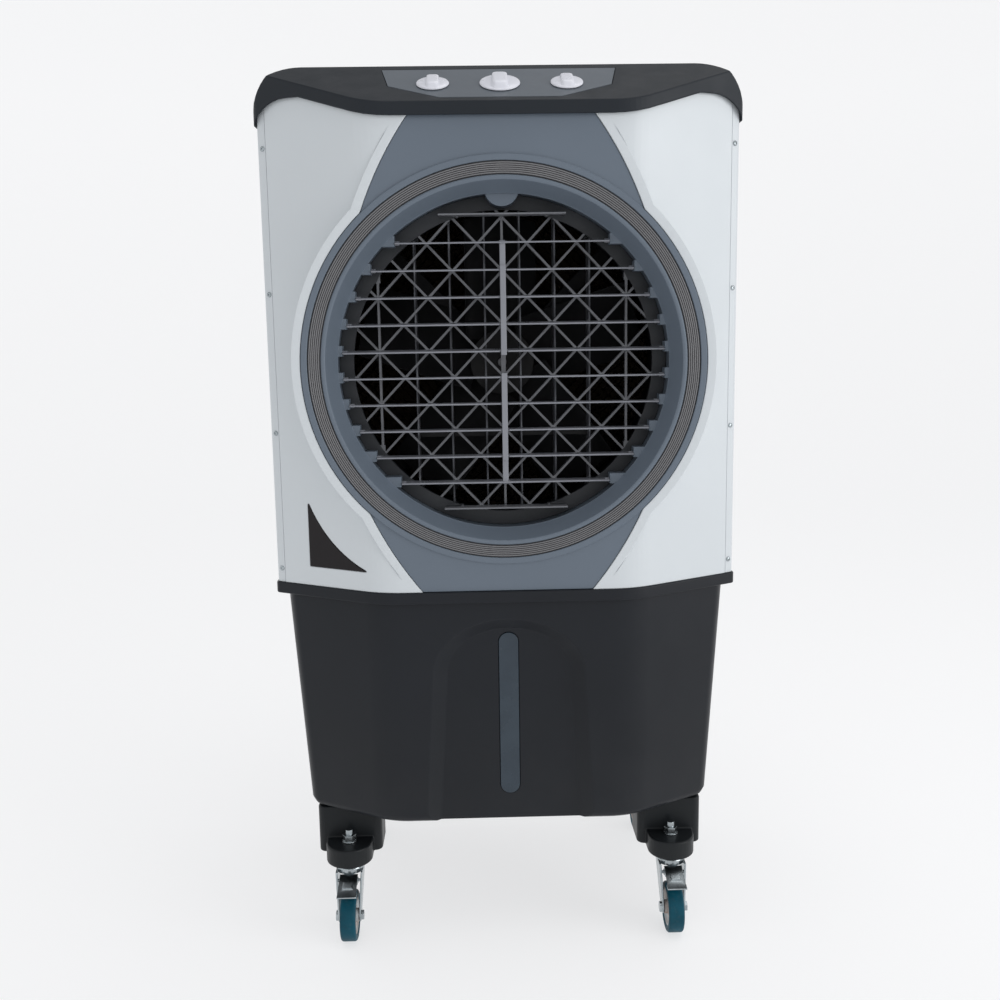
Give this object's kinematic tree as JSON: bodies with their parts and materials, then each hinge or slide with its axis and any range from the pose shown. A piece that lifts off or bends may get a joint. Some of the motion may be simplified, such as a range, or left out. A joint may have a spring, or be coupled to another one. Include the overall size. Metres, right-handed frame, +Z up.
{
  "type": "evaporative cooler",
  "caption": "Mobile evaporative cooler: louvred round air outlet with fan behind, sloping control top, wet pad at the rear, water tank below, braked swivel casters.",
  "frame": {"origin": "on the floor under the middle of the body", "axes": "+Z up, air blows towards -Y, +X to the right when seen from the front"},
  "size_m": [0.6064, 0.412, 1.131],
  "materials": {
    "tank_plastic": "semi-gloss",
    "smoked_window": "smoked",
    "caster_plastic": "matte",
    "zinc_steel": "zinc plated",
    "white_plastic": "semi-gloss",
    "bezel_grey": "matte",
    "ring_grey": "semi-gloss",
    "dark_grille": "matte",
    "trim_dark": "semi-gloss",
    "cover_grey": "matte",
    "panel_grey": "matte",
    "black_plastic": "matte",
    "painted_grey": "satin paint",
    "motor_steel": "zinc plated",
    "hose": "matte",
    "pad_paper": "corrugated paper",
    "plug_rubber": "matte",
    "knob_white": "semi-gloss",
    "louvre_grey": "matte",
    "wheel_teal": "matte"
  },
  "bodies": {
    "body": {"tank": "tank_plastic", "level_window": "smoked_window", "caster_brackets": "caster_plastic", "caster_stems": "zinc_steel", "front_casing": "white_plastic", "front_bezel": "bezel_grey", "trim_ring": "ring_grey", "outlet_ring": "bezel_grey", "grille_lattice": "dark_grille", "corner_trim": "trim_dark", "side_panel_left": "white_plastic", "side_panel_right": "white_plastic", "top_cover": "cover_grey", "control_panel": "panel_grey", "rotary_switches": "black_plastic", "fan_shroud": "painted_grey", "fan_motor": "motor_steel", "water_tray": "black_plastic", "water_pump": "black_plastic", "feed_hose": "hose", "casing_screws": "zinc_steel", "swing_motor": "motor_steel"},
    "pad_assembly": {"pad_frame": "white_plastic", "cooling_pad": "pad_paper"},
    "fan": {"fan_impeller": "black_plastic", "motor_shaft": "motor_steel"},
    "fill_door": {"fill_door": "white_plastic"},
    "drain_plug": {"drain_plug": "plug_rubber"},
    "speed_knob": {"speed_knob": "knob_white"},
    "swing_knob": {"swing_knob": "knob_white"},
    "pump_knob": {"pump_knob": "knob_white"},
    "upper_tie_bar": {"upper_tie_bar": "louvre_grey"},
    "lower_tie_bar": {"lower_tie_bar": "louvre_grey"},
    "vane_link": {"vane_link": "black_plastic"},
    "louvre_1": {"louvre_1": "louvre_grey"},
    "louvre_2": {"louvre_2": "louvre_grey"},
    "louvre_3": {"louvre_3": "louvre_grey"},
    "louvre_4": {"louvre_4": "louvre_grey"},
    "louvre_5": {"louvre_5": "louvre_grey"},
    "louvre_6": {"louvre_6": "louvre_grey"},
    "louvre_7": {"louvre_7": "louvre_grey"},
    "louvre_8": {"louvre_8": "louvre_grey"},
    "louvre_9": {"louvre_9": "louvre_grey"},
    "louvre_10": {"louvre_10": "louvre_grey"},
    "vane_1": {"vane_1": "dark_grille"},
    "vane_2": {"vane_2": "dark_grille"},
    "vane_3": {"vane_3": "dark_grille"},
    "vane_4": {"vane_4": "dark_grille"},
    "vane_5": {"vane_5": "dark_grille"},
    "vane_6": {"vane_6": "dark_grille"},
    "fork_front_left": {"fork_front_left": "zinc_steel"},
    "fork_front_right": {"fork_front_right": "zinc_steel"},
    "fork_rear_left": {"fork_rear_left": "zinc_steel"},
    "fork_rear_right": {"fork_rear_right": "zinc_steel"},
    "wheel_front_left": {"wheel_front_left": "wheel_teal"},
    "wheel_front_right": {"wheel_front_right": "wheel_teal"},
    "wheel_rear_left": {"wheel_rear_left": "wheel_teal"},
    "wheel_rear_right": {"wheel_rear_right": "wheel_teal"},
    "pedal_left": {"pedal_left": "zinc_steel"},
    "pedal_right": {"pedal_right": "zinc_steel"}
  },
  "joints": [
    {"name": "speed_knob_turn", "type": "hinge", "parent": "body", "child": "speed_knob", "pos_m": [0, -0.16407, 1.09673], "axis": [0, -0.5446, 0.8387], "range_deg": [-90, 90]},
    {"name": "swing_knob_turn", "type": "hinge", "parent": "body", "child": "swing_knob", "pos_m": [-0.08, -0.16407, 1.09673], "axis": [0, -0.5446, 0.8387], "range_deg": [-90, 90]},
    {"name": "pump_knob_turn", "type": "hinge", "parent": "body", "child": "pump_knob", "pos_m": [0.08, -0.16407, 1.09673], "axis": [0, -0.5446, 0.8387], "range_deg": [-90, 90]},
    {"name": "fan_spin", "type": "hinge", "parent": "body", "child": "fan", "pos_m": [0, -0.05, 0.766], "axis": [0, 1, 0], "continuous": true},
    {"name": "louvre_1_tilt", "type": "hinge", "parent": "body", "child": "louvre_1", "pos_m": [0, -0.161, 0.91315], "axis": [1, 0, 0], "range_deg": [-36, 24]},
    {"name": "louvre_2_tilt", "type": "hinge", "parent": "body", "child": "louvre_2", "pos_m": [0, -0.161, 0.88045], "axis": [1, 0, 0], "range_deg": [-36, 24]},
    {"name": "louvre_3_tilt", "type": "hinge", "parent": "body", "child": "louvre_3", "pos_m": [0, -0.161, 0.84775], "axis": [1, 0, 0], "range_deg": [-36, 24]},
    {"name": "louvre_4_tilt", "type": "hinge", "parent": "body", "child": "louvre_4", "pos_m": [0, -0.161, 0.81505], "axis": [1, 0, 0], "range_deg": [-36, 24]},
    {"name": "louvre_5_tilt", "type": "hinge", "parent": "body", "child": "louvre_5", "pos_m": [0, -0.161, 0.78235], "axis": [1, 0, 0], "range_deg": [-36, 24]},
    {"name": "louvre_6_tilt", "type": "hinge", "parent": "body", "child": "louvre_6", "pos_m": [0, -0.161, 0.74965], "axis": [1, 0, 0], "range_deg": [-31, 29]},
    {"name": "louvre_7_tilt", "type": "hinge", "parent": "body", "child": "louvre_7", "pos_m": [0, -0.161, 0.71695], "axis": [1, 0, 0], "range_deg": [-31, 29]},
    {"name": "louvre_8_tilt", "type": "hinge", "parent": "body", "child": "louvre_8", "pos_m": [0, -0.161, 0.68425], "axis": [1, 0, 0], "range_deg": [-31, 29]},
    {"name": "louvre_9_tilt", "type": "hinge", "parent": "body", "child": "louvre_9", "pos_m": [0, -0.161, 0.65155], "axis": [1, 0, 0], "range_deg": [-31, 29]},
    {"name": "louvre_10_tilt", "type": "hinge", "parent": "body", "child": "louvre_10", "pos_m": [0, -0.161, 0.61885], "axis": [1, 0, 0], "range_deg": [-31, 29]},
    {"name": "upper_tie_bar_hang", "type": "hinge", "parent": "louvre_1", "child": "upper_tie_bar", "pos_m": [0, -0.16746, 0.91247], "axis": [1, 0, 0], "range_deg": [-24, 36]},
    {"name": "lower_tie_bar_hang", "type": "hinge", "parent": "louvre_6", "child": "lower_tie_bar", "pos_m": [0, -0.1675, 0.74954], "axis": [1, 0, 0], "range_deg": [-29, 31]},
    {"name": "vane_1_swing", "type": "hinge", "parent": "body", "child": "vane_1", "pos_m": [-0.11, -0.112, 0.766], "axis": [0, 0, 1], "range_deg": [-35, 35]},
    {"name": "vane_2_swing", "type": "hinge", "parent": "body", "child": "vane_2", "pos_m": [-0.066, -0.112, 0.766], "axis": [0, 0, 1], "range_deg": [-35, 35]},
    {"name": "vane_3_swing", "type": "hinge", "parent": "body", "child": "vane_3", "pos_m": [-0.022, -0.112, 0.766], "axis": [0, 0, 1], "range_deg": [-35, 35]},
    {"name": "vane_4_swing", "type": "hinge", "parent": "body", "child": "vane_4", "pos_m": [0.022, -0.112, 0.766], "axis": [0, 0, 1], "range_deg": [-35, 35]},
    {"name": "vane_5_swing", "type": "hinge", "parent": "body", "child": "vane_5", "pos_m": [0.066, -0.112, 0.766], "axis": [0, 0, 1], "range_deg": [-35, 35]},
    {"name": "vane_6_swing", "type": "hinge", "parent": "body", "child": "vane_6", "pos_m": [0.11, -0.112, 0.766], "axis": [0, 0, 1], "range_deg": [-35, 35]},
    {"name": "vane_link_swing", "type": "hinge", "parent": "vane_1", "child": "vane_link", "pos_m": [-0.11, -0.1, 0.674], "axis": [0, 0, 1], "range_deg": [-35, 35]},
    {"name": "caster_front_left_swivel", "type": "hinge", "parent": "body", "child": "fork_front_left", "pos_m": [-0.218, -0.133, 0.095], "axis": [0, 0, 1], "continuous": true},
    {"name": "wheel_front_left_roll", "type": "hinge", "parent": "fork_front_left", "child": "wheel_front_left", "pos_m": [-0.218, -0.155, 0.033], "axis": [1, 0, 0], "continuous": true},
    {"name": "caster_front_right_swivel", "type": "hinge", "parent": "body", "child": "fork_front_right", "pos_m": [0.218, -0.133, 0.095], "axis": [0, 0, 1], "continuous": true},
    {"name": "wheel_front_right_roll", "type": "hinge", "parent": "fork_front_right", "child": "wheel_front_right", "pos_m": [0.218, -0.155, 0.033], "axis": [1, 0, 0], "continuous": true},
    {"name": "caster_rear_left_swivel", "type": "hinge", "parent": "body", "child": "fork_rear_left", "pos_m": [-0.218, 0.133, 0.095], "axis": [0, 0, 1], "continuous": true},
    {"name": "wheel_rear_left_roll", "type": "hinge", "parent": "fork_rear_left", "child": "wheel_rear_left", "pos_m": [-0.218, 0.155, 0.033], "axis": [1, 0, 0], "continuous": true},
    {"name": "caster_rear_right_swivel", "type": "hinge", "parent": "body", "child": "fork_rear_right", "pos_m": [0.218, 0.133, 0.095], "axis": [0, 0, 1], "continuous": true},
    {"name": "wheel_rear_right_roll", "type": "hinge", "parent": "fork_rear_right", "child": "wheel_rear_right", "pos_m": [0.218, 0.155, 0.033], "axis": [1, 0, 0], "continuous": true},
    {"name": "pedal_left_press", "type": "hinge", "parent": "fork_front_left", "child": "pedal_left", "pos_m": [-0.218, -0.149, 0.08], "axis": [1, 0, 0], "range_deg": [0, 8]},
    {"name": "pedal_right_press", "type": "hinge", "parent": "fork_front_right", "child": "pedal_right", "pos_m": [0.218, -0.149, 0.08], "axis": [1, 0, 0], "range_deg": [0, 8]},
    {"name": "fill_door_open", "type": "hinge", "parent": "body", "child": "fill_door", "pos_m": [0.2962, 0.13, 0.503], "axis": [0, 1, 0], "range_deg": [0, 80]},
    {"name": "pad_assembly_off", "type": "slide", "parent": "body", "child": "pad_assembly", "axis": [0, 1, 0], "range_m": [0, 0.06]},
    {"name": "drain_plug_pull", "type": "slide", "parent": "body", "child": "drain_plug", "axis": [0, 1, 0], "range_m": [0, 0.03]}
  ],
  "couplings": [
    {"joint": "louvre_2_tilt", "follows": "louvre_1_tilt", "ratio": 1},
    {"joint": "louvre_3_tilt", "follows": "louvre_1_tilt", "ratio": 1},
    {"joint": "louvre_4_tilt", "follows": "louvre_1_tilt", "ratio": 1},
    {"joint": "louvre_5_tilt", "follows": "louvre_1_tilt", "ratio": 1},
    {"joint": "louvre_7_tilt", "follows": "louvre_6_tilt", "ratio": 1},
    {"joint": "louvre_8_tilt", "follows": "louvre_6_tilt", "ratio": 1},
    {"joint": "louvre_9_tilt", "follows": "louvre_6_tilt", "ratio": 1},
    {"joint": "louvre_10_tilt", "follows": "louvre_6_tilt", "ratio": 1},
    {"joint": "upper_tie_bar_hang", "follows": "louvre_1_tilt", "ratio": -1},
    {"joint": "lower_tie_bar_hang", "follows": "louvre_6_tilt", "ratio": -1},
    {"joint": "vane_2_swing", "follows": "vane_1_swing", "ratio": 1},
    {"joint": "vane_3_swing", "follows": "vane_1_swing", "ratio": 1},
    {"joint": "vane_4_swing", "follows": "vane_1_swing", "ratio": 1},
    {"joint": "vane_5_swing", "follows": "vane_1_swing", "ratio": 1},
    {"joint": "vane_6_swing", "follows": "vane_1_swing", "ratio": 1},
    {"joint": "vane_link_swing", "follows": "vane_1_swing", "ratio": -1}
  ]
}
